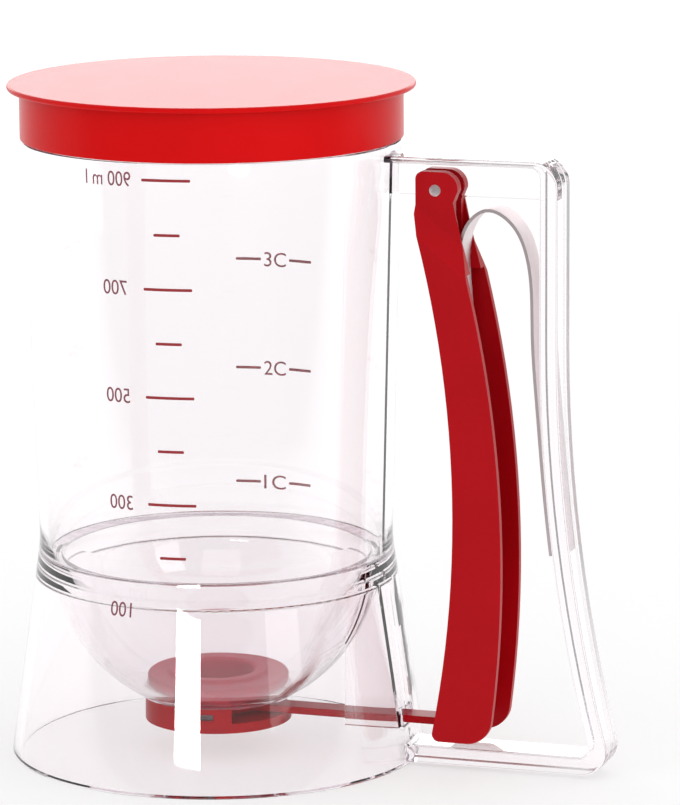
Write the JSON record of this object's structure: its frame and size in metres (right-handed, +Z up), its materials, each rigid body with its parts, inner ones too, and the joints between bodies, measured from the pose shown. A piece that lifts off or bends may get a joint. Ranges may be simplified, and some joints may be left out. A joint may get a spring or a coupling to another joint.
{
  "type": "pancake batter dispenser",
  "caption": "Clear batter jug with bowl bottom, push-on lid, loop handle and a squeeze lever that draws a sliding gate under the outlet.",
  "frame": {"origin": "centre of the round base ring, on the surface the dispenser stands on", "axes": "+Z up along the cup's axis, +X towards the handle"},
  "size_m": [0.1672, 0.1122, 0.1824],
  "materials": {
    "clear_body": "clear gloss polycarbonate",
    "red_silicone": "satin",
    "red_plastic": "gloss",
    "lid_plastic": "satin gloss",
    "steel": "polished"
  },
  "bodies": {
    "container": {"container": "clear_body", "outlet_seal": "red_silicone", "leaf_spring": "steel"},
    "lever": {"lever": "red_plastic", "pivot_pin": "steel"},
    "gate": {"gate": "red_plastic"},
    "cap": {"gate_cap": "red_plastic"},
    "lid": {"lid": "lid_plastic"}
  },
  "joints": [
    {"name": "lever_squeeze", "type": "hinge", "parent": "container", "child": "lever", "pos_m": [0.064, 0, 0.1564], "axis": [0, -1, 0], "range_deg": [0, 8], "stiffness_Nm_per_rad": 1.5, "springref_deg": -6.88, "deforming": ["leaf_spring"]},
    {"name": "gate_slide", "type": "slide", "parent": "container", "child": "gate", "axis": [1, 0, 0], "range_m": [0, 0.02016]},
    {"name": "cap_twist", "type": "hinge", "parent": "container", "child": "cap", "pos_m": [0, 0, 0.0115], "axis": [0, 0, 1], "range_deg": [0, 18]},
    {"name": "lid_lift", "type": "slide", "parent": "container", "child": "lid", "axis": [0, 0, 1], "range_m": [0, 0.04]}
  ],
  "couplings": [
    {"joint": "gate_slide", "follows": "lever_squeeze", "m_per_rad": 0.1437}
  ]
}
